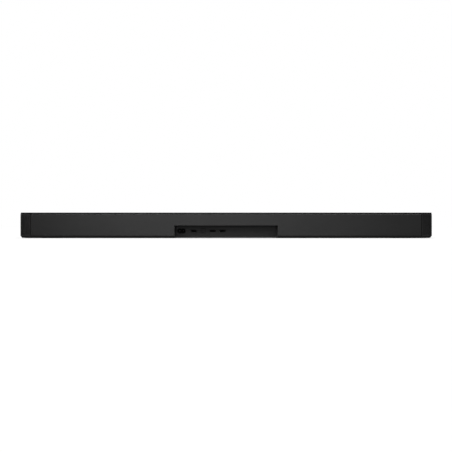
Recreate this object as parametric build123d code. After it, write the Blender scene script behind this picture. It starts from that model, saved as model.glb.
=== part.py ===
from build123d import *
import os

# A 980 mm soundbar, in millimetres. +Z is up, the front grille faces -Y and the port side faces +Y.
# The origin is on the floor below the middle of the bar. "Left" is at -X and "right" is at +X.

# Overall sizes
LENGTH = 980.0
DEPTH = 105.0
BASE_Z = 1.0
TOP_Z = 61.0
CORNER_RADIUS = 8.0
REAR_Y = DEPTH / 2

# Casing
CHAMFER_HEIGHT = 4.7
CHAMFER_INSET = 4.0
EDGE_BAND = 3.5
SLAB_TOP_Z = BASE_Z + CHAMFER_HEIGHT
BAND_Z = TOP_Z - EDGE_BAND
SEAM = 0.2
CLEARANCE = 0.1
FLOOR_Z = 3.5
CEILING_Z = 58.5
TOP_INSET = 0.7
TOP_EDGE_RADIUS = 0.5
LIP_OUTER_INSET = 3.0
LIP_INNER_INSET = 5.0
LIP_TOP_Z = 9.7
GRILLE_THICKNESS = 0.8
GRILLE_RETURN = 24.8
HEM_DEPTH = 3.0
SCRIM_THICKNESS = 0.3
REAR_PANEL_LENGTH = 927.6
REAR_PANEL_THICKNESS = 2.5
BAFFLE_BACK_Y = -40.0
BAFFLE_THICKNESS = 3.0
BAFFLE_HALF_LENGTH = 484.5
CHAMBER_WALL_X = 245.0
CHAMBER_WALL_THICKNESS = 2.5

# Cable recess
RECESS_WIDTH = 246.0
RECESS_DEPTH = 24.0
RECESS_DRAFT = 4.0 / 24.0
CEILING_DRAFT = 2.0 / 24.0
RECESS_TOP_Z = BASE_Z + 29.2
RECESS_WALL = 2.0
PORT_WALL_Y = REAR_Y - RECESS_DEPTH

# Ports on the recess's back wall
PORT_Z = BASE_Z + 16.1
INLET_X = 107.2
INLET_LENGTH = 17.6
INLET_HEIGHT = 9.6
INLET_RIM = 1.6
PIN_SPACING = 8.6
PIN_DIAMETER = 2.4
USB_X = 77.9
OPTICAL_X = 54.4
HDMI_X = (32.2, 8.9)
SOCKET_HEIGHT = 5.7
SHELL = 0.5
USB_WIDTH = 13.4
HDMI_WIDTH = 15.0
SOCKET_DEPTH = 14.0
OPTICAL_WIDTH = 12.0
OPTICAL_BOTTOM_Z = 12.7
OPTICAL_HEIGHT = 11.0

# Buttons on the top cover
BUTTON_Y = -14.0
BUTTON_PITCH = 24.0
BUTTON_WIDTH = 18.0
BUTTON_DEPTH = 9.4
BUTTON_GAP = 0.3
BUTTON_NAMES = ("power", "source", "volume_down", "volume_up")
BUTTON_X = [(n - 1.5) * BUTTON_PITCH for n in range(4)]
BUTTON_BOARD_TOP_Z = 49.1
SWITCH_TOP_Z = 52.5

# Drivers
DRIVER_Z = 31.0
WOOFER_X = {"left": -310.0, "right": 310.0}
TWEETER_X = {"left": -420.0, "right": 420.0}
FLANGE_Y = -43.0
FLANGE_THICKNESS = 2.0
CONE_LENGTH = 84.0
CONE_HEIGHT = 34.0
SURROUND_WIDTH = 4.0
COIL_DIAMETER = 21.0

# Boards
MAIN_BOARD_TOP_Z = PORT_Z - SOCKET_HEIGHT / 2
POWER_BOARD_TOP_Z = 10.1
BOARD_THICKNESS = 1.6

# Speaker wires
WIRE_DIAMETER = 2.2
WIRE_Y = -29.8
WOOFER_WIRE_Z = 17.0
TWEETER_WIRE_Z = 21.5

# Screws, posts and feet
POSTS = [(x, y) for x in (-460, -382, -150, 150, 382, 460) for y in (-35.5, 38.0)]
BOSS_TOP_Z = 6.0
FOOT_POSITIONS = [(x, y) for x in (-420, 420) for y in (-30, 30)]
BRACKET_X = 300.0
BRACKET_Y = 20.0
BOARD_SCREWS = [(-94, -22), (-94, 20), (84, -22), (228, -22), (228, 20)]


def block(x0, x1, y0, y1, z0, z1):
    """A box between two corners."""
    middle = Pos((x0 + x1) / 2, (y0 + y1) / 2, (z0 + z1) / 2)
    return middle * Box(x1 - x0, y1 - y0, z1 - z0)


def upright(x, y, z0, z1, diameter):
    """A cylinder that stands along Z."""
    return Pos(x, y, (z0 + z1) / 2) * Cylinder(diameter / 2, z1 - z0)


def lying(x, z, y0, y1, diameter):
    """A cylinder that lies along Y."""
    return Pos(x, (y0 + y1) / 2, z) * Rot(90, 0, 0) * Cylinder(diameter / 2, y1 - y0)


def front_plane(x, y, z):
    """A plane that faces the front, with its own x along +X and its own y along +Z."""
    return Plane(origin=(x, y, z), x_dir=(1, 0, 0), z_dir=(0, -1, 0))


def slot(x, z, y0, y1, length, height):
    """A solid with racetrack-shaped ends, lying along Y."""
    return extrude(front_plane(x, y1, z) * SlotOverall(length, height), y1 - y0)


def outline(inset, z0, z1):
    """The bar's plan outline, moved in by inset, between two heights."""
    radius = max(CORNER_RADIUS - inset, 1.0)
    face = RectangleRounded(LENGTH - 2 * inset, DEPTH - 2 * inset, radius)
    return Pos(0, 0, z0) * extrude(face, z1 - z0)


def slab(inset):
    """The chamfered foot of the bar's outline, moved in by inset."""
    low_inset = CHAMFER_INSET + inset
    low = RectangleRounded(LENGTH - 2 * low_inset, DEPTH - 2 * low_inset, CORNER_RADIUS - low_inset)
    high = RectangleRounded(LENGTH - 2 * inset, DEPTH - 2 * inset, CORNER_RADIUS - inset)
    return Pos(0, 0, BASE_Z) * loft([low, Pos(0, 0, CHAMFER_HEIGHT) * high], ruled=True)


def recess_half_width(y):
    """Half the cable recess's width at one depth."""
    return RECESS_WIDTH / 2 - (REAR_Y - y) * RECESS_DRAFT


def recess(y0, y1, grow, z0, z1):
    """The space of the cable recess between two depths, with its sides moved out by grow."""
    near = recess_half_width(y0) + grow
    far = recess_half_width(y1) + grow
    face = make_face(Polyline((-near, y0), (near, y0), (far, y1), (-far, y1), close=True))
    return Pos(0, 0, z0) * extrude(face, z1 - z0)


def below_ceiling(y0, y1, grow, z0):
    """Everything below the recess's sloping ceiling between two depths, moved up by grow."""
    near = RECESS_TOP_Z - (REAR_Y - y0) * CEILING_DRAFT + grow
    far = RECESS_TOP_Z - (REAR_Y - y1) * CEILING_DRAFT + grow
    face = make_face(Polyline((y0, z0), (y1, z0), (y1, far), (y0, near), close=True))
    return extrude(Plane.YZ * face, RECESS_WIDTH, both=True)


def tube(points, diameter, bend):
    """A round wire along a path with rounded bends."""
    path = FilletPolyline(*points, radius=bend)
    start = Plane(origin=path @ 0, z_dir=path % 0)
    return sweep(start * Circle(diameter / 2), path=path)


def save(name, *solids):
    """Writes one sub-part."""
    shape = solids[0] if len(solids) == 1 else Compound(children=list(solids))
    export_step(shape, f"parts/{name}.step")


# Casing

def make_bottom_housing():
    """The tray: a slab inside the grille's foot, a lip, bosses, a rear edge, and the recess's notch."""
    half = REAR_PANEL_LENGTH / 2
    tray = slab(GRILLE_THICKNESS + CLEARANCE)
    tray += slab(0) & block(-half, half, 30, REAR_Y, BASE_Z, SLAB_TOP_Z)
    tray += outline(LIP_OUTER_INSET, SLAB_TOP_Z, LIP_TOP_Z)
    tray -= outline(LIP_INNER_INSET, FLOOR_Z, LIP_TOP_Z + 1)
    for x, y in POSTS:
        tray += upright(x, y, FLOOR_Z, BOSS_TOP_Z, 9.0)
        tray -= upright(x, y, BASE_Z, BASE_Z + 2.0, 6.4)
        tray -= upright(x, y, BASE_Z, BOSS_TOP_Z, 3.4)
    for x in (-BRACKET_X, BRACKET_X):
        tray += upright(x, BRACKET_Y, FLOOR_Z, 12.0, 10.0)
        tray -= upright(x, BRACKET_Y, BASE_Z, 10.5, 6.0)
    for x, y in BOARD_SCREWS:
        under = POWER_BOARD_TOP_Z if x > 90 else MAIN_BOARD_TOP_Z
        tray += upright(x, y, FLOOR_Z, under - BOARD_THICKNESS, 6.0)
        tray -= upright(x, y, FLOOR_Z, under - BOARD_THICKNESS, 2.6)
    for x, y in FOOT_POSITIONS:
        foot = Pos(x, y, BASE_Z) * extrude(SlotOverall(44.4, 14.4), 0.6)
        tray -= foot
    tray -= recess(PORT_WALL_Y - RECESS_WALL, REAR_Y - REAR_PANEL_THICKNESS, RECESS_WALL, 0, 20)
    tray -= recess(REAR_Y - REAR_PANEL_THICKNESS, REAR_Y + 2, 0, 0, 20)
    save("bottom_housing", tray)


def make_top_cover():
    """The lid: a plate with a skirt, and the pocket for the button bezel."""
    lid = outline(TOP_INSET, BAND_Z, TOP_Z)
    lid = fillet(lid.faces().sort_by(Axis.Z)[-1].edges(), TOP_EDGE_RADIUS)
    lid = fillet(lid.faces().sort_by(Axis.Z)[0].edges(), 0.3)
    lid -= outline(LIP_OUTER_INSET, BAND_Z - 1, CEILING_Z)
    pocket = Pos(0, BUTTON_Y, CEILING_Z - 1) * extrude(RectangleRounded(100.2, 18.2, 3.1), 10)
    save("top_cover", lid - pocket)


def make_screw_posts():
    """Posts under the lid: long ones for the base screws, and short ones for the button board."""
    posts = []
    for x, y in POSTS:
        post = upright(x, y, BOSS_TOP_Z, CEILING_Z, 8.0)
        posts.append(post - upright(x, y, BOSS_TOP_Z, 14.5, 3.0))
    for x in (-58, 58):
        posts.append(upright(x, BUTTON_Y, BUTTON_BOARD_TOP_Z, CEILING_Z, 6.0))
    save("screw_posts", *posts)


def make_rear_panel():
    """The smooth rear wall, with ribs inside and the mouth of the cable recess."""
    half = REAR_PANEL_LENGTH / 2
    bottom = SLAB_TOP_Z + SEAM
    top = BAND_Z - SEAM
    panel = block(-half, half, REAR_Y - REAR_PANEL_THICKNESS, REAR_Y, bottom, top)
    top_edge = panel.faces().sort_by(Axis.Y)[-1].edges().sort_by(Axis.Z)[-1]
    panel = chamfer(top_edge, 1.0)
    panel -= recess(40, REAR_Y + 2, 0, 0, TOP_Z) & below_ceiling(40, REAR_Y + 2, 0, 0)
    mouth = panel.edges().filter_by(lambda e: e.center().Y > REAR_Y - 0.01)
    mouth = mouth.filter_by(lambda e: abs(e.center().X) < 124 and e.center().Z < RECESS_TOP_Z + 0.1)
    mouth = mouth.filter_by(lambda e: e.center().Z > bottom + 1)
    panel = fillet(mouth, 0.25)
    for z in (20.0, 34.0, 48.0):
        reach = 126 if z < RECESS_TOP_Z + 3 else 0
        for x0, x1 in ((-half + 8, -reach - 2), (reach + 2, half - 8)):
            panel += block(x0, x1, 48.2, REAR_Y - REAR_PANEL_THICKNESS, z - 0.8, z + 0.8)
    save("rear_panel", panel)


def inlet_outline(grow):
    """The two-lobed outline of the mains inlet."""
    lobe = INLET_HEIGHT / 2 + grow
    reach = (INLET_LENGTH - INLET_HEIGHT) / 2
    lobes = Pos(-reach, 0) * Circle(lobe) + Pos(reach, 0) * Circle(lobe)
    return lobes + Rectangle(2 * reach, 2 * lobe - 1.6)


def hdmi_outline(shrink):
    """The socket outline with its two slanted lower corners."""
    w = HDMI_WIDTH / 2 - shrink
    h = SOCKET_HEIGHT / 2 - shrink
    corner = 2.0
    return make_face(
        Polyline((-w, h), (w, h), (w, -h + corner), (w - corner, -h), (corner - w, -h),
                 (-w, corner - h), close=True)
    )


def make_port_panel():
    """The moulded box of the cable recess, with one cut-out for each port."""
    back_y = PORT_WALL_Y - RECESS_WALL
    outer_y = REAR_Y - REAR_PANEL_THICKNESS
    panel = recess(back_y, outer_y, RECESS_WALL, BASE_Z, TOP_Z)
    panel &= below_ceiling(back_y, outer_y, RECESS_WALL, BASE_Z)
    panel -= recess(PORT_WALL_Y, outer_y, 0, 0, TOP_Z) & below_ceiling(PORT_WALL_Y, outer_y, 0, 0)
    back = front_plane(0, PORT_WALL_Y + 1, PORT_Z)
    cuts = [Pos(INLET_X, 0) * inlet_outline(INLET_RIM + 0.1)]
    cuts += [Pos(USB_X, 0) * Rectangle(USB_WIDTH + 0.2, SOCKET_HEIGHT + 0.2)]
    cuts += [Pos(x, 0) * hdmi_outline(-0.1) for x in HDMI_X]
    optical_z = OPTICAL_BOTTOM_Z + OPTICAL_HEIGHT / 2 - PORT_Z
    cuts += [Pos(OPTICAL_X, optical_z) * Rectangle(OPTICAL_WIDTH + 0.2, OPTICAL_HEIGHT + 0.2)]
    for cut in cuts:
        panel -= extrude(back * cut, RECESS_WALL + 2)
    above = block(-RECESS_WIDTH, RECESS_WIDTH, 0, REAR_Y, SLAB_TOP_Z, TOP_Z)
    save("port_panel", panel & (slab(0) + above))


def make_grille():
    """The perforated steel wrap, as a plain sheet: front, ends, short rear returns and sloping foot."""
    half = LENGTH / 2 - GRILLE_RETURN
    z0 = SLAB_TOP_Z + SEAM
    z1 = BAND_Z - SEAM
    sheet = outline(0, SLAB_TOP_Z, z1) + slab(0)
    sheet -= outline(GRILLE_THICKNESS, SLAB_TOP_Z, z1) + slab(GRILLE_THICKNESS)
    sheet -= block(-half, half, 0, REAR_Y + 1, 0, z1)
    for side in (-1, 1):
        x = sorted((side * half, side * (half + GRILLE_THICKNESS)))
        sheet += block(x[0], x[1], REAR_Y - HEM_DEPTH, REAR_Y - GRILLE_THICKNESS, z0, z1)
    save("front_grille", sheet)
    inner = GRILLE_THICKNESS + SCRIM_THICKNESS
    scrim = outline(GRILLE_THICKNESS, z0, z1) - outline(inner, z0, z1)
    scrim -= block(-half - 2, half + 2, 0, REAR_Y + 1, z0, z1)
    save("grille_scrim", scrim)


def make_baffle():
    """The driver board behind the grille, with holes for the drivers and the display."""
    front = BAFFLE_BACK_Y - BAFFLE_THICKNESS
    board = block(-BAFFLE_HALF_LENGTH, BAFFLE_HALF_LENGTH, front, BAFFLE_BACK_Y, FLOOR_Z, CEILING_Z)
    for x in WOOFER_X.values():
        board -= slot(x, DRIVER_Z, front - 1, BAFFLE_BACK_Y + 1, 97, 43)
    for x in TWEETER_X.values():
        board -= lying(x, DRIVER_Z, front - 1, BAFFLE_BACK_Y + 1, 31)
    for x, z in driver_screw_places():
        board -= lying(x, z, front, BAFFLE_BACK_Y, 2.5)
    board -= block(-30.2, 30.2, front - 1, BAFFLE_BACK_Y + 1, 21.8, 40.2)
    save("front_baffle", board)


def make_end_frames():
    """The end walls, each with a return behind the grille's rear edge."""
    for name, side in (("left", -1), ("right", 1)):
        x = sorted((side * 481.5, side * BAFFLE_HALF_LENGTH))
        back = sorted((side * 440.0, side * BAFFLE_HALF_LENGTH))
        wall = block(x[0], x[1], BAFFLE_BACK_Y, 47.4, FLOOR_Z, CEILING_Z)
        wall += block(back[0], back[1], 44.4, 47.4, FLOOR_Z, CEILING_Z)
        wall &= outline(LIP_INNER_INSET + 0.1, FLOOR_Z, CEILING_Z)
        save(f"{name}_end_frame", wall)


def make_chamber_walls():
    """The two partitions between the electronics and the speaker chambers."""
    walls = []
    for side in (-1, 1):
        x0 = side * CHAMBER_WALL_X - CHAMBER_WALL_THICKNESS / 2
        x1 = x0 + CHAMBER_WALL_THICKNESS
        wall = block(x0, x1, BAFFLE_BACK_Y, 47.5, FLOOR_Z, CEILING_Z)
        wall += block(x0, x1, 47.5, 48.2, LIP_TOP_Z, BAND_Z - SEAM)
        for z in (WOOFER_WIRE_Z, TWEETER_WIRE_Z):
            bore = Pos(x0, WIRE_Y, z) * Rot(0, 90, 0) * Cylinder(WIRE_DIAMETER / 2 + 0.1, 20)
            wall -= bore
        walls.append(wall)
    save("chamber_walls", *walls)


def make_fixings():
    """Feet, screws and the threaded inserts for a wall bracket."""
    feet = [
        Pos(x, y, 0) * extrude(SlotOverall(44, 14), BASE_Z + 0.6) for x, y in FOOT_POSITIONS
    ]
    feet = [chamfer(foot.faces().sort_by(Axis.Z)[0].edges(), 0.4) for foot in feet]
    save("rubber_feet", *feet)
    base = []
    for x, y in POSTS:
        screw = upright(x, y, BASE_Z + 0.2, BASE_Z + 2.0, 5.6) + upright(x, y, BASE_Z + 2.0, 14.0, 3.0)
        screw -= Pos(x, y, BASE_Z + 0.2) * extrude(cross_recess(2.8), 1.0)
        base.append(screw)
    save("base_screws", *base)
    driver = []
    for x, z in driver_screw_places():
        screw = lying(x, z, FLANGE_Y - FLANGE_THICKNESS - 1.2, FLANGE_Y - FLANGE_THICKNESS, 4.6)
        screw += lying(x, z, FLANGE_Y - FLANGE_THICKNESS, BAFFLE_BACK_Y + 2, 2.5)
        driver.append(screw)
    save("driver_screws", *driver)
    small = []
    for x, y in BOARD_SCREWS:
        z = POWER_BOARD_TOP_Z if x > 90 else MAIN_BOARD_TOP_Z
        small.append(upright(x, y, z, z + 1.4, 4.6) + upright(x, y, z - 4.0, z, 2.6))
    save("board_screws", *small)
    inserts = []
    for x in (-BRACKET_X, BRACKET_X):
        insert = upright(x, BRACKET_Y, BASE_Z, 10.5, 6.0) - upright(x, BRACKET_Y, 0, 9.5, 4.0)
        inserts.append(insert)
    save("bracket_inserts", *inserts)


def cross_recess(size):
    """The cross-shaped recess in a screw's head."""
    return Rectangle(size, 0.8) + Rectangle(0.8, size)


def driver_screw_places():
    """Where the screws of the woofers and tweeters go, as x and z."""
    places = []
    for x in WOOFER_X.values():
        places += [(x + a, DRIVER_Z + b) for a in (-44, 44) for b in (-19.5, 19.5)]
    for x in TWEETER_X.values():
        places += [(x + a, DRIVER_Z + b) for a in (-13.2, 13.2) for b in (-13.2, 13.2)]
    return places


# Buttons and display

def make_buttons():
    """The bezel in the lid, four push buttons, and the switches below them."""
    opening = [
        Pos(x, 0) * RectangleRounded(BUTTON_WIDTH, BUTTON_DEPTH, 1.6) for x in BUTTON_X
    ]
    face = RectangleRounded(100, 18, 3)
    bezel = Pos(0, BUTTON_Y, CEILING_Z) * extrude(face, TOP_Z - CEILING_Z)
    bezel = chamfer(bezel.faces().sort_by(Axis.Z)[-1].edges(), 0.3)
    bezel += Pos(0, BUTTON_Y, CEILING_Z - 1) * extrude(RectangleRounded(106, 22, 3), 1)
    for hole in opening:
        bezel -= Pos(0, BUTTON_Y, BAND_Z - 1) * extrude(hole, 10)
    save("button_bezel", bezel)
    cap = RectangleRounded(BUTTON_WIDTH - 2 * BUTTON_GAP, BUTTON_DEPTH - 2 * BUTTON_GAP, 1.4)
    keeper = RectangleRounded(BUTTON_WIDTH + 2.6, BUTTON_DEPTH + 2.6, 2)
    for name, x in zip(BUTTON_NAMES, BUTTON_X):
        button = Pos(x, BUTTON_Y, 56.0) * extrude(cap, TOP_Z - 0.1 - 56.0)
        button = fillet(button.faces().sort_by(Axis.Z)[-1].edges(), 0.5)
        button += Pos(x, BUTTON_Y, 56.0) * extrude(keeper, 1.2)
        button += upright(x, BUTTON_Y, SWITCH_TOP_Z + 0.8, 56.0, 4.0)
        save(f"{name}_button", button)
        plunger = upright(x, BUTTON_Y, SWITCH_TOP_Z - 0.9, SWITCH_TOP_Z + 0.8, 3.2)
        save(f"{name}_plunger", plunger)
    board_bottom = BUTTON_BOARD_TOP_Z - BOARD_THICKNESS
    save("button_board", block(-62, 62, BUTTON_Y - 8, BUTTON_Y + 8, board_bottom, BUTTON_BOARD_TOP_Z))
    switches = []
    for x in BUTTON_X:
        switch = block(x - 3, x + 3, BUTTON_Y - 3, BUTTON_Y + 3, BUTTON_BOARD_TOP_Z, SWITCH_TOP_Z)
        switches.append(switch - upright(x, BUTTON_Y, SWITCH_TOP_Z - 1.8, SWITCH_TOP_Z, 4.0))
    save("tact_switches", *switches)


def make_display():
    """The status display, which shines through the grille's holes."""
    save("display_module", block(-30, 30, -43.8, -38.4, 22, 40))
    save("display_board", block(-36, 36, -38.4, -36.8, 17, 45))


# Electronics

def make_boards():
    """The main board with its chips, wireless module and heat sink, and the power supply."""
    z = MAIN_BOARD_TOP_Z
    board = block(-100, 88, -28, PORT_WALL_Y - RECESS_WALL - 0.3, z - BOARD_THICKNESS, z)
    board -= block(OPTICAL_X - 6.2, OPTICAL_X + 6.2, 13.5, 40, 0, 40)
    for x, y in BOARD_SCREWS:
        board -= upright(x, y, 0, 40, 2.6)
    save("main_board", board)
    chips = [block(-30, -12, -6, 12, z, z + 1.6), block(0, 14, -10, 4, z, z + 1.4)]
    chips += [block(x, x + 8, -8, -2, z, z + 1.2) for x in (22, 34, 46)]
    chips += [block(x, x + 9, 8, 12, z, z + 1.5) for x in (4, 26)]
    save("main_board_chips", *chips)
    save("wireless_module", block(-92, -66, -8, 12, z, z + 3.0))
    sink = block(-60, -36, -18, 16, z, z + 3)
    for n in range(5):
        x = -60 + n * 5.5
        sink += block(x, x + 2, -18, 16, z + 3, z + 16)
    save("heat_sink", sink)
    z = POWER_BOARD_TOP_Z
    board = block(93, 235, -28, PORT_WALL_Y - RECESS_WALL - 0.3, z - BOARD_THICKNESS, z)
    for x, y in BOARD_SCREWS:
        board -= upright(x, y, 0, 40, 2.6)
    save("power_board", board)
    core = block(150, 182, -14, 14, z, z + 6) + block(150, 182, -14, 14, z + 20, z + 26)
    core += block(150, 155, -14, 14, z, z + 26) + block(177, 182, -14, 14, z, z + 26)
    core += block(160, 172, -10, 10, z + 6, z + 20)
    save("transformer", core)
    cans = [upright(132, -14, z, z + 30, 18), upright(132, 8, z, z + 24, 12)]
    cans += [upright(x, y, z, z + 20, 10) for x in (196, 212) for y in (-14, 2)]
    save("capacitors", *cans)


# Ports

def make_power_inlet():
    """The two-pin mains inlet: a block with a two-lobed mouth, and two round pins."""
    front = PORT_WALL_Y - 0.1
    body = block(INLET_X - 12, INLET_X + 12, 4, PORT_WALL_Y - RECESS_WALL - 0.1,
                 POWER_BOARD_TOP_Z, PORT_Z + 7)
    face = front_plane(INLET_X, front, PORT_Z)
    body += extrude(face * inlet_outline(INLET_RIM), 6)
    body -= extrude(face * inlet_outline(0), 14)
    pins = []
    for side in (-1, 1):
        x = INLET_X + side * PIN_SPACING / 2
        pin = lying(x, PORT_Z, 8, front - 3.0, PIN_DIAMETER)
        pins.append(fillet(pin.edges().sort_by(Axis.Y)[-1], 1.0))
        body -= lying(x, PORT_Z, 8, 20, PIN_DIAMETER)
    save("power_inlet", body)
    save("inlet_pins", *pins)


def make_sockets():
    """The USB and HDMI sockets, open at the rear, and the contact tongues inside them."""
    front = PORT_WALL_Y - 0.2
    usb = front_plane(USB_X, front, PORT_Z)
    shell = extrude(usb * Rectangle(USB_WIDTH, SOCKET_HEIGHT), SOCKET_DEPTH)
    inside = Rectangle(USB_WIDTH - 2 * SHELL, SOCKET_HEIGHT - 2 * SHELL)
    shell -= extrude(usb * inside, SOCKET_DEPTH - SHELL)
    save("usb_socket", shell)
    back = front - SOCKET_DEPTH + SHELL
    tongues = [block(USB_X - 5.5, USB_X + 5.5, back, front - 2.5, PORT_Z + 0.1, PORT_Z + 1.9)]
    shells = []
    for x in HDMI_X:
        hdmi = front_plane(x, front, PORT_Z)
        shell = extrude(hdmi * hdmi_outline(0), SOCKET_DEPTH)
        shells.append(shell - extrude(hdmi * hdmi_outline(SHELL), SOCKET_DEPTH - SHELL))
        tongues.append(block(x - 5.0, x + 5.0, back, front - 2.5, PORT_Z - 0.2, PORT_Z + 0.7))
    save("hdmi_sockets", *shells)
    save("socket_tongues", *tongues)


def make_optical_jack():
    """The optical jack, with a hinged shutter that a plug pushes in and up."""
    front = PORT_WALL_Y - 0.2
    x0 = OPTICAL_X - OPTICAL_WIDTH / 2
    x1 = OPTICAL_X + OPTICAL_WIDTH / 2
    z0 = OPTICAL_BOTTOM_Z
    z1 = OPTICAL_BOTTOM_Z + OPTICAL_HEIGHT
    jack = block(x0, x1, 14, front, z0, z1)
    jack -= block(x0 + 1.4, x1 - 1.4, 16, front + 1, z0 + 1.2, z1 - 1.0)
    jack += block(x0, x1, front - 1.0, front, z1 - 1.6, z1)
    jack += lying(OPTICAL_X, PORT_Z + 0.6, 16, 18, 3.0)
    save("optical_jack", jack)
    flap = block(x0 + 1.6, x1 - 1.6, front - 2.1, front - 1.3, z0 + 1.5, z1 - 1.3)
    flap = fillet(flap.edges().filter_by(Axis.X), 0.35)
    save("optical_shutter", flap)


# Drivers

def near_circle(diameter):
    """A circle drawn as a very short racetrack, so that it lofts cleanly to a racetrack."""
    return SlotOverall(diameter + 0.2, diameter)


def bowl(x, y0, y1, length0, height0, length1, height1):
    """A solid that tapers from one racetrack to another along Y."""
    near = front_plane(x, y0, DRIVER_Z) * SlotOverall(length0, height0)
    far = front_plane(x, y1, DRIVER_Z) * SlotOverall(length1, height1)
    return loft([near, far], ruled=True)


def make_basket(x):
    """The woofer's frame: a flange, a windowed bowl and a seat for the magnet."""
    flange_front = FLANGE_Y - FLANGE_THICKNESS
    frame = slot(x, DRIVER_Z, flange_front, FLANGE_Y, 108, 50)
    frame += bowl(x, FLANGE_Y, -17, 96, 42, 56, 42)
    frame -= bowl(x, FLANGE_Y, -18.5, 92, 38, 53, 38)
    frame -= slot(x, DRIVER_Z, flange_front - 1, FLANGE_Y, 92, 38)
    frame -= lying(x, DRIVER_Z, -20, -16, 26)
    for a in (-24, 24):
        frame -= block(x + a - 9, x + a + 9, -36, -24, 0, 60)
    for a, b in [(a, b) for a in (-44, 44) for b in (-19.5, 19.5)]:
        frame -= lying(x + a, DRIVER_Z + b, flange_front - 1, FLANGE_Y + 1, 2.5)
    return frame


def make_magnet(x):
    """The motor: front plate, ferrite ring, back plate and pole."""
    motor = lying(x, DRIVER_Z, -17, -13, 40) + lying(x, DRIVER_Z, -13, -3, 44)
    motor += lying(x, DRIVER_Z, -3, 1, 40)
    motor -= lying(x, DRIVER_Z, -18, -3, COIL_DIAMETER + 1.6)
    motor += lying(x, DRIVER_Z, -16.5, -3, COIL_DIAMETER - 2.6)
    return motor


def make_cone(x):
    """The diaphragm with its dust cap and voice coil former."""
    rim_y = FLANGE_Y - FLANGE_THICKNESS
    neck_y = -31.0
    rim = front_plane(x, rim_y, DRIVER_Z) * SlotOverall(CONE_LENGTH, CONE_HEIGHT)
    neck = front_plane(x, neck_y, DRIVER_Z) * near_circle(COIL_DIAMETER)
    outer = loft([rim, neck], ruled=True)
    cone = outer - Pos(0, -1.0, 0) * outer
    cone += lying(x, DRIVER_Z, neck_y - 1, -11, COIL_DIAMETER)
    cone -= lying(x, DRIVER_Z, neck_y - 2, -10, COIL_DIAMETER - 1.0)
    cap_centre = Pos(x, neck_y + 11.2, DRIVER_Z)
    cap = cap_centre * Sphere(16) - cap_centre * Sphere(15.2)
    cone += cap & lying(x, DRIVER_Z, neck_y - 10, neck_y - 1, COIL_DIAMETER)
    return cone


def make_surround(x):
    """The rubber half-roll between the diaphragm and the frame."""
    y = FLANGE_Y - FLANGE_THICKNESS
    path = front_plane(x, y, DRIVER_Z) * SlotOverall(
        CONE_LENGTH + SURROUND_WIDTH, CONE_HEIGHT + SURROUND_WIDTH
    )
    path = path.wire()
    section = Plane(origin=path @ 0, z_dir=path % 0)
    outward = section.to_local_coords(Vector(path @ 0) + Vector(0, -1, 0))
    ring = Circle(1.8) - Circle(1.2)
    half = Rectangle(6, 3)
    half = Pos(outward.X * 1.5, outward.Y * 1.5) * (
        half if abs(outward.Y) > 0.5 else Rectangle(3, 6)
    )
    return sweep(section * (ring & half), path=path)


def make_tweeter(x):
    """A dome tweeter: the body with its face plate, and the dome."""
    front = FLANGE_Y - FLANGE_THICKNESS
    body = block(x - 17, x + 17, front, FLANGE_Y, DRIVER_Z - 17, DRIVER_Z + 17)
    body = fillet(body.edges().filter_by(Axis.Y), 4)
    body += lying(x, DRIVER_Z, FLANGE_Y, -26, 30)
    body -= lying(x, DRIVER_Z, front - 1, -34, 21)
    for a, b in [(a, b) for a in (-13.2, 13.2) for b in (-13.2, 13.2)]:
        body -= lying(x + a, DRIVER_Z + b, front - 1, FLANGE_Y + 1, 2.5)
    centre = Pos(x, front + 9.5, DRIVER_Z)
    dome = centre * Sphere(12) - centre * Sphere(11.4)
    dome &= lying(x, DRIVER_Z, front - 6, front + 2.5, 20)
    return body, dome


def make_drivers():
    """Both woofers and both tweeters."""
    magnets = []
    for side, x in WOOFER_X.items():
        save(f"{side}_woofer_basket", make_basket(x))
        save(f"{side}_woofer_cone", make_cone(x))
        save(f"{side}_woofer_surround", make_surround(x))
        magnets.append(make_magnet(x))
    save("woofer_magnets", *magnets)
    for side, x in TWEETER_X.items():
        body, dome = make_tweeter(x)
        save(f"{side}_tweeter_body", body)
        save(f"{side}_tweeter_dome", dome)


# Wiring

def make_wiring():
    """Speaker wires, the short leads between the two boards, and the flat ribbon cables."""
    wires = []
    for side in (-1, 1):
        woofer = [
            (side * 62, -24, MAIN_BOARD_TOP_Z), (side * 62, -24, WOOFER_WIRE_Z),
            (side * 62, WIRE_Y, WOOFER_WIRE_Z), (side * 254, WIRE_Y, WOOFER_WIRE_Z),
        ]
        wires.append(tube(woofer, WIRE_DIAMETER, 1.3))
        tweeter = [
            (side * 70, -22, MAIN_BOARD_TOP_Z), (side * 70, -22, TWEETER_WIRE_Z),
            (side * 70, WIRE_Y, TWEETER_WIRE_Z), (side * 251, WIRE_Y, TWEETER_WIRE_Z),
            (side * 251, 8, TWEETER_WIRE_Z), (side * 420, 8, TWEETER_WIRE_Z),
            (side * 420, -26, TWEETER_WIRE_Z),
        ]
        wires.append(tube(tweeter, WIRE_DIAMETER, 3.0))
    save("speaker_wires", *wires)
    leads = []
    for y in (-12, -8, -4):
        path = [
            (80, y, MAIN_BOARD_TOP_Z), (80, y, 24), (101, y, 24), (101, y, POWER_BOARD_TOP_Z),
        ]
        leads.append(tube(path, 1.8, 3.0))
    save("power_leads", *leads)
    ribbons = [block(-22, -8, -20.6, -20.0, MAIN_BOARD_TOP_Z, BUTTON_BOARD_TOP_Z - BOARD_THICKNESS)]
    ribbons.append(block(14, 28, -36.8, -25.0, MAIN_BOARD_TOP_Z + 5.4, MAIN_BOARD_TOP_Z + 6.0)
                   + block(14, 28, -25.6, -25.0, MAIN_BOARD_TOP_Z, MAIN_BOARD_TOP_Z + 6.0))
    save("ribbon_cables", *ribbons)


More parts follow.
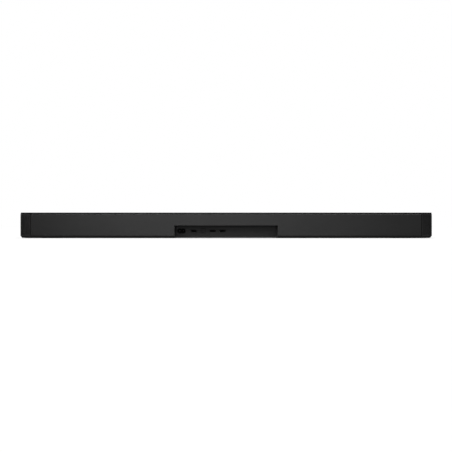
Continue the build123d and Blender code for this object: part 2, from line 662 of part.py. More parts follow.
os.makedirs("parts", exist_ok=True)
make_bottom_housing()
make_top_cover()
make_screw_posts()
make_rear_panel()
make_port_panel()
make_grille()
make_baffle()
make_end_frames()
make_chamber_walls()
make_fixings()
make_buttons()
make_display()
make_boards()
make_power_inlet()
make_sockets()
make_optical_jack()
make_drivers()
make_wiring()
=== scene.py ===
import math

import bpy
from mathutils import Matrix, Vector


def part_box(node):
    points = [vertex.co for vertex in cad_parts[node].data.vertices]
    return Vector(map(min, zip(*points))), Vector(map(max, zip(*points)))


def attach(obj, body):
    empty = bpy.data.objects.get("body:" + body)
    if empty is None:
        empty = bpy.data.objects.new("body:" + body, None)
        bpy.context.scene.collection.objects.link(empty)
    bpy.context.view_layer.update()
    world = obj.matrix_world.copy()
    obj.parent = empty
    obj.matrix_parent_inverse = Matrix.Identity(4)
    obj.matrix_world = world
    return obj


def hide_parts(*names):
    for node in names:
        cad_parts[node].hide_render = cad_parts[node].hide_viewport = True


# The looks of a 980 mm soundbar, seen from behind. Metres, +Z up, the sockets face +Y.

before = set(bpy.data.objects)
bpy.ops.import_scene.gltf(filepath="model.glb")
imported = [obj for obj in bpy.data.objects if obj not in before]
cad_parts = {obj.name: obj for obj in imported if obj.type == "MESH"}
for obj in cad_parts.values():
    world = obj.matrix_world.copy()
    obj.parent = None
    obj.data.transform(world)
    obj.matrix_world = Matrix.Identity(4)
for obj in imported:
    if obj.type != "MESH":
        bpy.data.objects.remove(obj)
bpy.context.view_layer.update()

MM = 0.001

# Grille: the perforated sheet follows the same outline as its CAD node
GRILLE_LOW, GRILLE_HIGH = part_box("front_grille")
HALF_LENGTH = GRILLE_HIGH.x
HALF_DEPTH = GRILLE_HIGH.y
CORNER_RADIUS = 8.0 * MM
RETURN_END = 465.2 * MM
FOOT_HEIGHT = 4.7 * MM
FOOT_INSET = 4.0 * MM
SHEET_THICKNESS = 0.8 * MM
HEM_DEPTH = 3.0 * MM
SIDE_MARGIN = 0.5 * MM
GRILLE_PIECES = 4

# Its round holes, in staggered rows. A hole has two sides for each of the six border points of its cell.
HOLE_PITCH = 3.0 * MM
ROW_PITCH = 2.6 * MM
HOLE_RADIUS = 0.97 * MM
HOLE_SIDES = 12
FOOT_ROWS = 2
WALL_ROWS = 18

# The sheet's flat height, measured up its sloping foot and then up its wall
FOOT_SLOPE = math.hypot(FOOT_HEIGHT, FOOT_INSET)
SHEET_HEIGHT = FOOT_SLOPE + GRILLE_HIGH.z - GRILLE_LOW.z - FOOT_HEIGHT

# Corners of the sheet are shared when they agree to the nearest micrometre
MICROMETRES_PER_METRE = 1e6

# Moulded plastic: how far its shade and its roughness vary, and the size and depth in mm of a fine grain
SHADE_SPREAD = 0.07
ROUGHNESS_SPREAD = 0.015
FINE_GRAIN = (0.4, 0.01)

# Button symbols: the reach is the ring's radius, and half the length of a minus or plus stroke
SYMBOL_LIFT = 0.03 * MM
SYMBOL_STROKE = 0.55 * MM
SYMBOL_REACH = 2.2 * MM
RING_STEPS = 28
RING_GAP_STEPS = 3

# Camera: square to the rear panel, a long lens just below the height of the bar's middle
LENS_MM = 100.0
SENSOR_MM = 36.0
CAMERA_DISTANCE = 2.9836
CAMERA_X = 0.0004
CAMERA_Z = 0.0290
CAMERA_REACH = 60.0

# Floor and light
FLOOR_REACH = 12.0
FLOOR_SHADE = 0.9
FLOOR_WHITE = 1.03
FLOOR_LAMP_DEGREES = 60
BACKDROP_WHITE = 1.0
ROOM_LIGHT = 0.195

# Spread of a soft box, in degrees
NARROW = 60
WIDE = 180


# Node helpers

def start_material(name):
    """A new material with its node tree and its Principled shader."""
    material = bpy.data.materials.new(name)
    material.use_nodes = True
    tree = material.node_tree
    return material, tree, tree.nodes["Principled BSDF"]


def object_position(tree, stretch=(1, 1, 1)):
    """The surface point in metres, scaled along each axis."""
    place = tree.nodes.new("ShaderNodeTexCoord")
    mapping = tree.nodes.new("ShaderNodeMapping")
    mapping.inputs["Scale"].default_value = stretch
    tree.links.new(place.outputs["Object"], mapping.inputs["Vector"])
    return mapping.outputs["Vector"]


def noise(tree, size, detail=2.0, stretch=(1, 1, 1)):
    """Soft random noise whose features are about size metres across."""
    texture = tree.nodes.new("ShaderNodeTexNoise")
    texture.inputs["Scale"].default_value = 1.0 / size
    texture.inputs["Detail"].default_value = detail
    tree.links.new(object_position(tree, stretch), texture.inputs["Vector"])
    return texture.outputs["Fac"]


def cells(tree, size):
    """Random cells about size metres across."""
    texture = tree.nodes.new("ShaderNodeTexVoronoi")
    texture.inputs["Scale"].default_value = 1.0 / size
    tree.links.new(object_position(tree), texture.inputs["Vector"])
    return texture.outputs["Distance"]


def waves(tree, size, direction, profile="SIN"):
    """Straight parallel ridges, size metres apart, across one axis."""
    texture = tree.nodes.new("ShaderNodeTexWave")
    texture.bands_direction = direction
    texture.wave_profile = profile
    texture.inputs["Scale"].default_value = math.pi / (10.0 * size)
    tree.links.new(object_position(tree), texture.inputs["Vector"])
    return texture.outputs["Fac"]


def combine(tree, first, second, operation="MULTIPLY"):
    """Two patterns joined by one arithmetic step."""
    step = tree.nodes.new("ShaderNodeMath")
    step.operation = operation
    tree.links.new(first, step.inputs[0])
    tree.links.new(second, step.inputs[1])
    return step.outputs[0]


def colour_between(tree, shader, pattern, dark, light, low=0.35, high=0.65):
    """The base colour runs from dark to light as the pattern rises."""
    ramp = tree.nodes.new("ShaderNodeValToRGB")
    ramp.color_ramp.elements[0].position = low
    ramp.color_ramp.elements[0].color = (*dark, 1)
    ramp.color_ramp.elements[1].position = high
    ramp.color_ramp.elements[1].color = (*light, 1)
    tree.links.new(pattern, ramp.inputs["Fac"])
    tree.links.new(ramp.outputs["Color"], shader.inputs["Base Color"])


def roughness_between(tree, shader, pattern, low, high):
    """The roughness runs from low to high as the pattern rises."""
    span = tree.nodes.new("ShaderNodeMapRange")
    span.inputs["From Min"].default_value = 0.3
    span.inputs["From Max"].default_value = 0.7
    span.inputs["To Min"].default_value = low
    span.inputs["To Max"].default_value = high
    tree.links.new(pattern, span.inputs["Value"])
    tree.links.new(span.outputs["Result"], shader.inputs["Roughness"])


def relief(tree, shader, pattern, depth):
    """A bump of the given depth in metres."""
    bump = tree.nodes.new("ShaderNodeBump")
    bump.inputs["Distance"].default_value = depth
    tree.links.new(pattern, bump.inputs["Height"])
    tree.links.new(bump.outputs["Normal"], shader.inputs["Normal"])


def grey(value, warmth=0.0):
    """A neutral colour, a little warm or cool."""
    return (value * (1 + warmth), value, value * (1 - warmth))


def assign(material, *node_names):
    """Gives CAD nodes their material."""
    for name in node_names:
        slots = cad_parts[name].data.materials
        slots.clear()
        slots.append(material)


# Materials

def moulded_plastic(name, shade, rough, grain, specular=0.5):
    """Moulded plastic: flow marks, uneven gloss, and a spark-eroded grain of a size and depth in mm."""
    material, tree, shader = start_material(name)
    shader.inputs["Specular IOR Level"].default_value = specular
    flow_marks = noise(tree, 35 * MM, detail=3.0, stretch=(0.35, 1, 1))
    dark = grey(shade * (1 - SHADE_SPREAD))
    light = grey(shade * (1 + SHADE_SPREAD))
    colour_between(tree, shader, flow_marks, dark, light)
    gloss = noise(tree, 12 * MM, detail=4.0)
    roughness_between(tree, shader, gloss, rough - ROUGHNESS_SPREAD, rough + ROUGHNESS_SPREAD)
    grain_size, grain_depth = grain
    relief(tree, shader, noise(tree, grain_size * MM, detail=3.0), depth=grain_depth * MM)
    return material


def powder_coat():
    """Satin black powder coat with a slight orange peel."""
    material, tree, shader = start_material("grille_powder_coat")
    shader.inputs["Specular IOR Level"].default_value = 0.5
    colour_between(tree, shader, noise(tree, 20 * MM, detail=3.0), grey(0.017), grey(0.023))
    roughness_between(tree, shader, noise(tree, 6 * MM, detail=3.0), 0.42, 0.50)
    relief(tree, shader, noise(tree, 0.7 * MM, detail=2.0), depth=0.03 * MM)
    return material


def scrim_cloth():
    """Thin black open-weave cloth behind the grille."""
    material, tree, shader = start_material("scrim_cloth")
    shader.inputs["Specular IOR Level"].default_value = 0.1
    weave = combine(tree, waves(tree, 0.6 * MM, "X"), waves(tree, 0.6 * MM, "Z"))
    colour_between(tree, shader, weave, grey(0.002), grey(0.008), low=0.1, high=0.6)
    shader.inputs["Roughness"].default_value = 0.95
    relief(tree, shader, weave, depth=0.1 * MM)
    return material


def foot_rubber():
    """Dense black rubber with a dusty bloom."""
    material, tree, shader = start_material("foot_rubber")
    shader.inputs["Specular IOR Level"].default_value = 0.3
    colour_between(tree, shader, noise(tree, 4 * MM, detail=5.0), grey(0.020), grey(0.034, 0.03))
    roughness_between(tree, shader, noise(tree, 3 * MM, detail=3.0), 0.72, 0.85)
    relief(tree, shader, cells(tree, 0.9 * MM), depth=0.05 * MM)
    return material


def brushed_metal(name, shade, warmth, rough):
    """Plated or bare metal with fine lines left by rolling or turning."""
    material, tree, shader = start_material(name)
    shader.inputs["Metallic"].default_value = 1.0
    lines = noise(tree, 1.6 * MM, detail=4.0, stretch=(1, 14, 1))
    colour_between(tree, shader, lines, grey(shade * 0.86, warmth), grey(shade, warmth))
    roughness_between(tree, shader, noise(tree, 2 * MM, detail=3.0), rough - 0.05, rough + 0.07)
    relief(tree, shader, lines, depth=0.01 * MM)
    return material


def brass():
    """Turned brass, slightly tarnished."""
    material, tree, shader = start_material("insert_brass")
    shader.inputs["Metallic"].default_value = 1.0
    tarnish = noise(tree, 1.5 * MM, detail=4.0)
    colour_between(tree, shader, tarnish, (0.45, 0.30, 0.11), (0.78, 0.58, 0.27))
    roughness_between(tree, shader, tarnish, 0.22, 0.40)
    relief(tree, shader, waves(tree, 0.7 * MM, "Z"), depth=0.03 * MM)
    return material


def gloss_plastic(name, dark, light, rough):
    """Polished plastic with the faintest haze and dust."""
    material, tree, shader = start_material(name)
    colour_between(tree, shader, noise(tree, 10 * MM, detail=4.0), dark, light)
    roughness_between(tree, shader, noise(tree, 4 * MM, detail=5.0), rough, rough + 0.08)
    relief(tree, shader, noise(tree, 0.8 * MM, detail=2.0), depth=0.004 * MM)
    return material


def circuit_board():
    """Green solder mask over copper tracks."""
    material, tree, shader = start_material("circuit_board")
    tracks = combine(tree, waves(tree, 2.2 * MM, "X", "TRI"), cells(tree, 9 * MM), "SUBTRACT")
    colour_between(tree, shader, tracks, (0.006, 0.055, 0.022), (0.018, 0.13, 0.05), low=0.0, high=0.35)
    roughness_between(tree, shader, noise(tree, 5 * MM, detail=3.0), 0.24, 0.34)
    relief(tree, shader, tracks, depth=0.04 * MM)
    return material


def chip_resin():
    """Matt moulded resin of chips and switch bodies."""
    return moulded_plastic("chip_resin", shade=0.018, rough=0.55, grain=(0.3, 0.02), specular=0.4)


def transformer_core():
    """Lacquered ferrite core."""
    material, tree, shader = start_material("transformer_core")
    colour_between(tree, shader, noise(tree, 3 * MM, detail=4.0), grey(0.03, 0.1), grey(0.07, 0.1))
    roughness_between(tree, shader, noise(tree, 2 * MM, detail=3.0), 0.35, 0.6)
    relief(tree, shader, waves(tree, 0.8 * MM, "Z"), depth=0.1 * MM)
    return material


def cone_fibre():
    """Pressed black paper fibre."""
    material, tree, shader = start_material("cone_fibre")
    shader.inputs["Specular IOR Level"].default_value = 0.2
    fibre = noise(tree, 1.4 * MM, detail=6.0, stretch=(1, 1, 2.5))
    colour_between(tree, shader, fibre, grey(0.014), grey(0.042))
    roughness_between(tree, shader, fibre, 0.75, 0.92)
    relief(tree, shader, fibre, depth=0.12 * MM)
    return material


def surround_rubber():
    """Smooth dark rubber of the woofer surrounds."""
    material, tree, shader = start_material("surround_rubber")
    shader.inputs["Specular IOR Level"].default_value = 0.4
    colour_between(tree, shader, noise(tree, 6 * MM, detail=3.0), grey(0.014), grey(0.024))
    roughness_between(tree, shader, noise(tree, 3 * MM, detail=3.0), 0.48, 0.60)
    relief(tree, shader, noise(tree, 0.6 * MM, detail=2.0), depth=0.02 * MM)
    return material


def dome_silk():
    """Coated silk weave."""
    material, tree, shader = start_material("dome_silk")
    weave = combine(tree, waves(tree, 0.4 * MM, "X"), waves(tree, 0.4 * MM, "Z"))
    colour_between(tree, shader, weave, grey(0.02, 0.1), grey(0.06, 0.12), low=0.1, high=0.7)
    shader.inputs["Roughness"].default_value = 0.5
    relief(tree, shader, weave, depth=0.04 * MM)
    return material


def magnet():
    """Dark ferrite with zinc plated steel plates."""
    material, tree, shader = start_material("magnet")
    bands = waves(tree, 14 * MM, "Y")
    colour_between(tree, shader, bands, grey(0.05), grey(0.42), low=0.45, high=0.55)
    roughness_between(tree, shader, noise(tree, 3 * MM, detail=4.0), 0.35, 0.6)
    relief(tree, shader, noise(tree, 0.9 * MM, detail=3.0), depth=0.03 * MM)
    return material


def wire_jacket(name, dark, light):
    """Soft PVC wire insulation."""
    material, tree, shader = start_material(name)
    colour_between(tree, shader, noise(tree, 6 * MM, detail=3.0), dark, light)
    roughness_between(tree, shader, noise(tree, 4 * MM, detail=3.0), 0.38, 0.5)
    relief(tree, shader, noise(tree, 1.2 * MM, detail=2.0), depth=0.02 * MM)
    return material


def ribbon_film():
    """White film with one dark line for each conductor."""
    material, tree, shader = start_material("ribbon_film")
    lines = waves(tree, 1 * MM, "X")
    colour_between(tree, shader, lines, grey(0.35), grey(0.75), low=0.2, high=0.5)
    roughness_between(tree, shader, noise(tree, 4 * MM, detail=2.0), 0.3, 0.42)
    relief(tree, shader, lines, depth=0.06 * MM)
    return material


def printed_grey():
    """The pale grey print of the button symbols."""
    material, tree, shader = start_material("printed_grey")
    colour_between(tree, shader, noise(tree, 0.7 * MM, detail=3.0), grey(0.38), grey(0.48))
    roughness_between(tree, shader, noise(tree, 1 * MM, detail=2.0), 0.5, 0.6)
    relief(tree, shader, noise(tree, 0.2 * MM, detail=2.0), depth=0.004 * MM)
    return material


# Every carried-over CAD node gets its material

def paint_casing():
    """Shells, cloth, inner frames, feet and metal fixings."""
    lid = moulded_plastic("lid_plastic", shade=0.011, rough=0.46, grain=(0.7, 0.02), specular=0.30)
    assign(lid, "top_cover")
    housing = moulded_plastic("housing_plastic", shade=0.014, rough=0.50, grain=(0.6, 0.03), specular=0.40)
    assign(housing, "bottom_housing")
    panel = moulded_plastic("panel_plastic", shade=0.020, rough=0.47, grain=(0.5, 0.015))
    assign(panel, "rear_panel")
    recess = moulded_plastic("port_plastic", shade=0.0175, rough=0.52, grain=(0.5, 0.02), specular=0.42)
    assign(recess, "port_panel")
    assign(scrim_cloth(), "grille_scrim")
    inner = moulded_plastic("inner_plastic", shade=0.024, rough=0.60, grain=(0.9, 0.04))
    assign(inner, "front_baffle", "left_end_frame", "right_end_frame", "chamber_walls", "screw_posts")
    assign(foot_rubber(), "rubber_feet")
    screw = brushed_metal("black_zinc", shade=0.16, warmth=0.0, rough=0.38)
    assign(screw, "base_screws", "driver_screws", "board_screws")
    assign(brass(), "bracket_inserts")


def paint_controls():
    """Buttons, their switch plungers and the bezel round them."""
    keys = ("power", "source", "volume_down", "volume_up")
    button = moulded_plastic("button_plastic", shade=0.017, rough=0.40, grain=FINE_GRAIN)
    assign(button, *[f"{key}_button" for key in keys])
    plunger = moulded_plastic("plunger_plastic", shade=0.45, rough=0.45, grain=FINE_GRAIN)
    assign(plunger, *[f"{key}_plunger" for key in keys])
    assign(gloss_plastic("bezel_gloss", grey(0.008), grey(0.011), rough=0.36), "button_bezel")


def paint_sockets():
    """The sockets in the cable recess, with painted shade in their plastic, pins and shells."""
    # The inlet's and the tongues' plastic is darker than plain black plastic: painted shade for the
    # cavities of the inlet and the sockets.
    port = moulded_plastic("connector_plastic_painted_shade", shade=0.0045, rough=0.55, grain=FINE_GRAIN, specular=0.15)
    assign(port, "power_inlet", "socket_tongues")
    jack = moulded_plastic("jack_plastic", shade=0.008, rough=0.52, grain=FINE_GRAIN, specular=0.3)
    assign(jack, "optical_jack")
    shutter = moulded_plastic("shutter_plastic", shade=0.010, rough=0.50, grain=FINE_GRAIN)
    assign(shutter, "optical_shutter")
    # The inlet pins' nickel is given a dark grey colour: painted shade for the inside of the inlet.
    assign(brushed_metal("pin_nickel", shade=0.12, warmth=0.03, rough=0.34), "inlet_pins")
    # The USB and HDMI shells are near-black metal instead of bright nickel: painted shade for the dark
    # inside of the sockets.
    assign(brushed_metal("shell_nickel", shade=0.02, warmth=0.03, rough=0.55), "usb_socket", "hdmi_sockets")


def paint_electronics():
    """Boards, what stands on them, and the wires."""
    assign(circuit_board(), "main_board", "power_board", "button_board", "display_board")
    assign(chip_resin(), "main_board_chips", "tact_switches")
    assign(gloss_plastic("smoked_window", grey(0.006), grey(0.012), rough=0.12), "display_module")
    assign(brushed_metal("tinned_shield", shade=0.62, warmth=0.01, rough=0.30), "wireless_module")
    assign(brushed_metal("extruded_alloy", shade=0.66, warmth=0.0, rough=0.36), "heat_sink")
    assign(transformer_core(), "transformer")
    sleeve = gloss_plastic("can_sleeve", (0.01, 0.015, 0.05), (0.015, 0.022, 0.07), rough=0.2)
    assign(sleeve, "capacitors")
    assign(wire_jacket("speaker_wire_red", (0.16, 0.01, 0.01), (0.26, 0.02, 0.02)), "speaker_wires")
    assign(wire_jacket("lead_yellow", (0.45, 0.33, 0.02), (0.6, 0.45, 0.03)), "power_leads")
    assign(ribbon_film(), "ribbon_cables")


def paint_drivers():
    """Woofers and tweeters."""
    frames = moulded_plastic("basket_paint", shade=0.02, rough=0.5, grain=(0.6, 0.03))
    assign(frames, "left_woofer_basket", "right_woofer_basket", "left_tweeter_body", "right_tweeter_body")
    assign(cone_fibre(), "left_woofer_cone", "right_woofer_cone")
    assign(surround_rubber(), "left_woofer_surround", "right_woofer_surround")
    assign(dome_silk(), "left_tweeter_dome", "right_tweeter_dome")
    assign(magnet(), "woofer_magnets")


# The perforated grille

def wrap_segments():
    """The grille's outer outline in plan: straight runs and corner arcs, in order."""
    x = HALF_LENGTH - CORNER_RADIUS
    y = HALF_DEPTH - CORNER_RADIUS
    quarter = math.pi / 2
    return [
        ("line", Vector((-RETURN_END, HALF_DEPTH)), Vector((-x, HALF_DEPTH))),
        ("arc", Vector((-x, y)), quarter),
        ("line", Vector((-HALF_LENGTH, y)), Vector((-HALF_LENGTH, -y))),
        ("arc", Vector((-x, -y)), 2 * quarter),
        ("line", Vector((-x, -HALF_DEPTH)), Vector((x, -HALF_DEPTH))),
        ("arc", Vector((x, -y)), 3 * quarter),
        ("line", Vector((HALF_LENGTH, -y)), Vector((HALF_LENGTH, y))),
        ("arc", Vector((x, y)), 4 * quarter),
        ("line", Vector((x, HALF_DEPTH)), Vector((RETURN_END, HALF_DEPTH))),
    ]


SEGMENTS = wrap_segments()
ARC_LENGTH = CORNER_RADIUS * math.pi / 2


def segment_length(segment):
    """The length of one run or arc of the outline."""
    kind, first, second = segment
    return (second - first).length if kind == "line" else ARC_LENGTH


WRAP_LENGTH = sum(segment_length(segment) for segment in SEGMENTS)
HOLE_COLUMNS = int((WRAP_LENGTH - 2 * SIDE_MARGIN) / HOLE_PITCH)
FIRST_S = (WRAP_LENGTH - HOLE_COLUMNS * HOLE_PITCH) / 2
LAST_S = WRAP_LENGTH - FIRST_S


def wrap_point(s):
    """The outline's point at distance s along it, and its outward direction."""
    for segment in SEGMENTS:
        length = segment_length(segment)
        if s <= length or segment is SEGMENTS[-1]:
            break
        s -= length
    kind, first, second = segment
    if kind == "line":
        along = (second - first).normalized()
        return first + along * s, Vector((along.y, -along.x))
    angle = second + s / CORNER_RADIUS
    outward = Vector((math.cos(angle), math.sin(angle)))
    return first + outward * CORNER_RADIUS, outward


def sheet_point(s, v, depth):
    """The point at distance s along the wrap and v up the sheet, at a depth below its face."""
    point, outward = wrap_point(s)
    sheet_out = Vector((outward.x, outward.y, 0))
    if v < FOOT_SLOPE:
        inset = FOOT_INSET * (1 - v / FOOT_SLOPE)
        z = GRILLE_LOW.z + FOOT_HEIGHT * v / FOOT_SLOPE
        facing = (sheet_out * FOOT_HEIGHT - Vector((0, 0, FOOT_INSET))) / FOOT_SLOPE
    else:
        inset = 0.0
        z = GRILLE_LOW.z + FOOT_HEIGHT + v - FOOT_SLOPE
        facing = sheet_out
    return Vector((point.x, point.y, z)) - sheet_out * inset - facing * depth


class SheetMesh:
    """Collects the grille's vertices and faces, given by distance along the wrap and up the sheet."""

    def __init__(self):
        self.points = []
        self.faces = []
        self.known = {}

    def add(self, s, v, depth=0.0):
        """A new vertex, and its number."""
        self.points.append(sheet_point(s, v, depth))
        return len(self.points) - 1

    def shared(self, s, v, depth):
        """The number of the one vertex at this place, which is made when it is first asked for."""
        key = (round(s * MICROMETRES_PER_METRE), round(v * MICROMETRES_PER_METRE), depth)
        if key not in self.known:
            self.known[key] = self.add(s, v, depth)
        return self.known[key]

    def face(self, corners, depth):
        """A face of the sheet's front, or the same face turned round on its back."""
        self.faces.append(corners if depth == 0.0 else corners[::-1])

    def quad(self, s0, s1, v0, v1):
        """A plain stretch of the sheet, front and back."""
        for depth in (0.0, SHEET_THICKNESS):
            corners = ((s0, v0), (s1, v0), (s1, v1), (s0, v1))
            self.face([self.shared(s, v, depth) for s, v in corners], depth)

    def hole(self, s, v):
        """One cell of the pattern: a rectangle with a round hole and the hole's wall."""
        half = HOLE_PITCH / 2
        rise = ROW_PITCH / 2
        border = [(half, rise), (0, rise), (-half, rise), (-half, -rise), (0, -rise), (half, -rise)]
        turn = 2 * math.pi / HOLE_SIDES
        ring = [
            (s + HOLE_RADIUS * math.cos(k * turn), v + HOLE_RADIUS * math.sin(k * turn))
            for k in range(HOLE_SIDES)
        ]
        for depth in (0.0, SHEET_THICKNESS):
            edge = [self.shared(s + a, v + b, depth) for a, b in border]
            rim = [self.add(a, b, depth) for a, b in ring]
            for k in range(len(border)):
                # The odd rim points are each nearest to one border point, and the even ones lie between
                near = [rim[(2 * k + step) % HOLE_SIDES] for step in (3, 2, 1)]
                self.face([edge[k], edge[(k + 1) % len(border)]] + near, depth)
        front = [self.add(a, b) for a, b in ring]
        back = [self.add(a, b, SHEET_THICKNESS) for a, b in ring]
        for k in range(HOLE_SIDES):
            n = (k + 1) % HOLE_SIDES
            self.faces.append([front[k], front[n], back[n], back[k]])

    def edge_strip(self, s0, s1, v, upward):
        """The sheet's cut edge between two distances along the wrap."""
        a, b = self.add(s0, v), self.add(s1, v)
        c, d = self.add(s1, v, SHEET_THICKNESS), self.add(s0, v, SHEET_THICKNESS)
        self.faces.append([a, b, c, d] if upward else [d, c, b, a])

    def cut_edges(self, s0, s1):
        """The cut edges along the top and the foot, for one stretch of the wrap."""
        self.edge_strip(s0, s1, SHEET_HEIGHT, True)
        self.edge_strip(s0, s1, 0.0, False)

    def end_strip(self, s, v0, v1, depth, forward):
        """The sheet's edge at one end of the wrap, folded in to a depth."""
        a, b = self.add(s, v0), self.add(s, v1)
        c, d = self.add(s, v1, depth), self.add(s, v0, depth)
        self.faces.append([a, b, c, d] if forward else [d, c, b, a])

    def build(self, name, material):
        """The finished piece, in the scene."""
        mesh = bpy.data.meshes.new(name)
        mesh.from_pydata(self.points, [], self.faces)
        mesh.materials.append(material)
        mesh.update()
        piece = bpy.data.objects.new(name, mesh)
        bpy.context.scene.collection.objects.link(piece)
        return piece


def hole_band(sheet, v_low, v_high, rows, start, end):
    """Rows of holes with a plain margin below and above. Gives the heights where its rows meet."""
    half = HOLE_PITCH / 2
    first_v = (v_low + v_high - rows * ROW_PITCH) / 2
    last_v = first_v + rows * ROW_PITCH
    for row in range(rows):
        v = first_v + (row + 0.5) * ROW_PITCH
        low = v - ROW_PITCH / 2
        high = v + ROW_PITCH / 2
        staggered = row % 2 == 1
        for column in range(start, end):
            s = FIRST_S + (column + 0.5) * HOLE_PITCH + (half if staggered else 0.0)
            if staggered and column == HOLE_COLUMNS - 1:
                sheet.quad(s - half, s, low, high)
            else:
                sheet.hole(s, v)
        if staggered and start == 0:
            sheet.quad(FIRST_S, FIRST_S + half, low, high)
    for step in range(2 * start, 2 * end):
        s = FIRST_S + step * half
        sheet.quad(s, s + half, v_low, first_v)
        sheet.quad(s, s + half, last_v, v_high)
    return [v_low] + [first_v + n * ROW_PITCH for n in range(rows + 1)] + [v_high]


def end_margin(sheet, levels, s0, s1, at_start):
    """The plain margin at one end of the wrap, with its cut edges and the edge folded in at its end."""
    for band in levels:
        for v0, v1 in zip(band, band[1:]):
            sheet.quad(s0, s1, v0, v1)
    sheet.cut_edges(s0, s1)
    end_s = s0 if at_start else s1
    sheet.end_strip(end_s, 0.0, FOOT_SLOPE, SHEET_THICKNESS, at_start)
    sheet.end_strip(end_s, FOOT_SLOPE, SHEET_HEIGHT, HEM_DEPTH, at_start)


def build_grille():
    """Perforated steel from one rear return round the front to the other, in four pieces."""
    material = powder_coat()
    bands = ((0.0, FOOT_SLOPE, FOOT_ROWS), (FOOT_SLOPE, SHEET_HEIGHT, WALL_ROWS))
    for part in range(GRILLE_PIECES):
        start = HOLE_COLUMNS * part // GRILLE_PIECES
        end = HOLE_COLUMNS * (part + 1) // GRILLE_PIECES
        sheet = SheetMesh()
        levels = [hole_band(sheet, *band, start, end) for band in bands]
        for column in range(start, end):
            sheet.cut_edges(FIRST_S + column * HOLE_PITCH, FIRST_S + (column + 1) * HOLE_PITCH)
        if part == 0:
            end_margin(sheet, levels, 0.0, FIRST_S, at_start=True)
        if part == GRILLE_PIECES - 1:
            end_margin(sheet, levels, LAST_S, WRAP_LENGTH, at_start=False)
        piece = sheet.build(f"grille_sheet_{part + 1}", material)
        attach(piece, "casing")
        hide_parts("front_grille")


# Button symbols

def stroke_faces(points, faces, start, end, z):
    """Adds a flat stroke from start to end at a height."""
    along = (end - start).normalized()
    across = Vector((-along.y, along.x)) * SYMBOL_STROKE / 2
    base = len(points)
    for corner in (start - across, end - across, end + across, start + across):
        points.append((corner.x, corner.y, z))
    faces.append((base, base + 1, base + 2, base + 3))


def power_symbol(centre):
    """An open ring with a bar through its gap."""
    spots = []
    for k in range(RING_GAP_STEPS, RING_STEPS - RING_GAP_STEPS + 1):
        angle = math.pi / 2 + 2 * math.pi * k / RING_STEPS
        spots.append(centre + SYMBOL_REACH * Vector((math.cos(angle), math.sin(angle))))
    bar_foot = centre + Vector((0, 0.4 * MM))
    bar_top = centre + Vector((0, 2.7 * MM))
    return list(zip(spots, spots[1:])) + [(bar_foot, bar_top)]


def source_symbol(centre):
    """A square bracket with an arrow pointing into it, in millimetres from the centre."""
    bracket = [(0.4, 2.0), (2.6, 2.0), (2.6, -2.0), (0.4, -2.0)]
    shaft = [(-2.8, 0.0), (1.0, 0.0)]
    head = [(-0.3, 1.2), (1.0, 0.0), (-0.3, -1.2)]
    strokes = []
    for line in (bracket, shaft, head):
        spots = [centre + Vector(p) * MM for p in line]
        strokes += list(zip(spots, spots[1:]))
    return strokes


def minus_symbol(centre):
    """One stroke along the bar."""
    reach = Vector((SYMBOL_REACH, 0))
    return [(centre - reach, centre + reach)]


def plus_symbol(centre):
    """The minus with a second stroke across it."""
    reach = Vector((0, SYMBOL_REACH))
    return minus_symbol(centre) + [(centre - reach, centre + reach)]


def add_button_symbols():
    """A printed symbol on each button, which moves with it."""
    material = printed_grey()
    symbols = {
        "power": power_symbol,
        "source": source_symbol,
        "volume_down": minus_symbol,
        "volume_up": plus_symbol,
    }
    for key, draw in symbols.items():
        low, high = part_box(f"{key}_button")
        centre = Vector(((low.x + high.x) / 2, (low.y + high.y) / 2))
        points, faces = [], []
        for start, end in draw(centre):
            stroke_faces(points, faces, start, end, high.z + SYMBOL_LIFT)
        mesh = bpy.data.meshes.new(f"{key}_symbol")
        mesh.from_pydata(points, [], faces)
        mesh.materials.append(material)
        piece = bpy.data.objects.new(f"{key}_symbol", mesh)
        bpy.context.scene.collection.objects.link(piece)
        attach(piece, f"{key}_key")


# Stage, light and camera

def add_floor():
    """A plain pale floor, left out of reflections and of bounced light."""
    signs = ((-1, -1), (1, -1), (1, 1), (-1, 1))
    corners = [(x * FLOOR_REACH, y * FLOOR_REACH, 0) for x, y in signs]
    mesh = bpy.data.meshes.new("floor")
    mesh.from_pydata(corners, [], [(0, 1, 2, 3)])
    floor = bpy.data.objects.new("floor", mesh)
    bpy.context.scene.collection.objects.link(floor)
    material, _, shader = start_material("floor_paper")
    shader.inputs["Base Color"].default_value = (*grey(FLOOR_SHADE), 1)
    shader.inputs["Roughness"].default_value = 1.0
    shader.inputs["Specular IOR Level"].default_value = 0.0
    mesh.materials.append(material)
    floor.visible_diffuse = False
    floor.visible_glossy = False
    return floor


def add_floor_lamp(floor):
    """A lamp that lights nothing but the floor, so that the floor stays just white."""
    lamp = bpy.data.lights.new("floor_lamp", "SUN")
    lamp.energy = math.pi * (FLOOR_WHITE / FLOOR_SHADE - ROOM_LIGHT)
    lamp.angle = math.radians(FLOOR_LAMP_DEGREES)
    sun = bpy.data.objects.new("floor_lamp", lamp)
    bpy.context.scene.collection.objects.link(sun)
    only_floor = bpy.data.collections.new("only_floor")
    only_floor.objects.link(floor)
    sun.light_linking.receiver_collection = only_floor


def everything_but(floor):
    """The collection through which a lamp lights everything except the floor."""
    all_but_floor = bpy.data.collections.new("all_but_floor")
    all_but_floor.objects.link(floor)
    all_but_floor.collection_objects[0].light_linking.link_state = "EXCLUDE"
    return all_but_floor


def add_area_light(name, place, target, width, height, power, spread):
    """A soft box that faces a point."""
    lamp = bpy.data.lights.new(name, "AREA")
    lamp.shape = "RECTANGLE"
    lamp.size = width
    lamp.size_y = height
    lamp.energy = power
    lamp.spread = math.radians(spread)
    holder = bpy.data.objects.new(name, lamp)
    holder.location = place
    facing = Vector(target) - Vector(place)
    holder.rotation_euler = facing.to_track_quat("-Z", "Y").to_euler()
    bpy.context.scene.collection.objects.link(holder)
    return holder


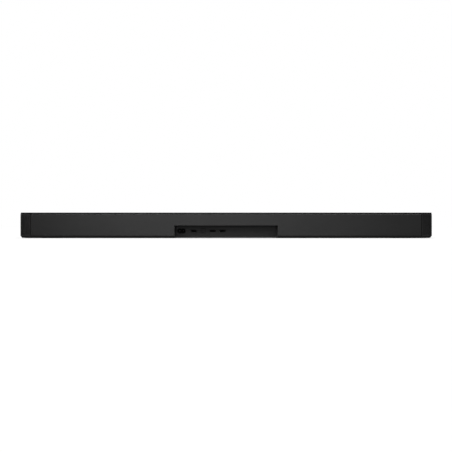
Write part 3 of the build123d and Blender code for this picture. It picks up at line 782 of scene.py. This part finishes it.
def add_lights(receivers):
    """Two narrow keys on the inlet's side, fills behind and above, and soft light for the other sides."""
    middle = (0, 0.05, 0.03)
    # Name, place, the point that it faces, width, height, power in watts, spread
    soft_boxes = [
        ("key_high", (0.6, 0.5, 0.7), (0.15, 0.05, 0.03), 0.3, 0.25, 0.70, NARROW),
        ("key_low", (0.6, 0.5, 0.35), (-0.1, 0.05, 0.03), 0.3, 0.25, 0.36, NARROW),
        ("rear_fill", (0, 1.6, 0.15), middle, 0.6, 0.45, 1.08, WIDE),
        ("rear_near", (-0.2, 0.9, 0.25), middle, 0.3, 0.25, 0.043, NARROW),
        ("rear_side", (-0.6, 0.6, 0.5), middle, 0.3, 0.25, 0.14, NARROW),
        ("rear_top", (-0.6, 0.5, 1.4), middle, 0.6, 0.45, 6.3, WIDE),
        ("front_soft", (-0.3, -1.3, 0.9), (0, -0.05, 0.03), 1.2, 0.6, 30.0, WIDE),
        ("lid_soft", (0, -0.1, 1.6), (0, -0.1, 0.06), 1.6, 0.8, 6.0, WIDE),
        ("end_soft_left", (-1.5, -0.5, 0.6), (-0.3, 0, 0.03), 0.6, 0.5, 8.0, WIDE),
        ("end_soft_right", (1.5, -0.5, 0.6), (0.3, 0, 0.03), 0.6, 0.5, 5.0, WIDE),
    ]
    for soft_box in soft_boxes:
        holder = add_area_light(*soft_box)
        holder.light_linking.receiver_collection = receivers


def set_world():
    """The camera sees a white room, and the bar is lit by a much dimmer one."""
    world = bpy.data.worlds.new("room")
    bpy.context.scene.world = world
    world.use_nodes = True
    tree = world.node_tree
    output = tree.nodes["World Output"]
    seen = tree.nodes["Background"]
    seen.inputs["Color"].default_value = (1, 1, 1, 1)
    seen.inputs["Strength"].default_value = BACKDROP_WHITE
    glow = tree.nodes.new("ShaderNodeBackground")
    glow.inputs["Color"].default_value = (1, 1, 1, 1)
    glow.inputs["Strength"].default_value = ROOM_LIGHT
    paths = tree.nodes.new("ShaderNodeLightPath")
    mix = tree.nodes.new("ShaderNodeMixShader")
    tree.links.new(paths.outputs["Is Camera Ray"], mix.inputs["Fac"])
    tree.links.new(glow.outputs["Background"], mix.inputs[1])
    tree.links.new(seen.outputs["Background"], mix.inputs[2])
    tree.links.new(mix.outputs["Shader"], output.inputs["Surface"])


def add_camera():
    """Square to the rear panel, with a long lens."""
    data = bpy.data.cameras.new("camera")
    data.lens = LENS_MM
    data.sensor_width = SENSOR_MM
    data.dof.use_dof = False
    data.clip_end = CAMERA_REACH
    camera = bpy.data.objects.new("camera", data)
    camera.location = (CAMERA_X, HALF_DEPTH + CAMERA_DISTANCE, CAMERA_Z)
    camera.rotation_euler = (math.radians(90), 0, math.radians(180))
    bpy.context.scene.collection.objects.link(camera)
    bpy.context.scene.camera = camera


paint_casing()
paint_controls()
paint_sockets()
paint_electronics()
paint_drivers()
build_grille()
add_button_symbols()
floor = add_floor()
add_floor_lamp(floor)
add_lights(everything_but(floor))
set_world()
add_camera()
bpy.context.scene.view_settings.view_transform = "Standard"
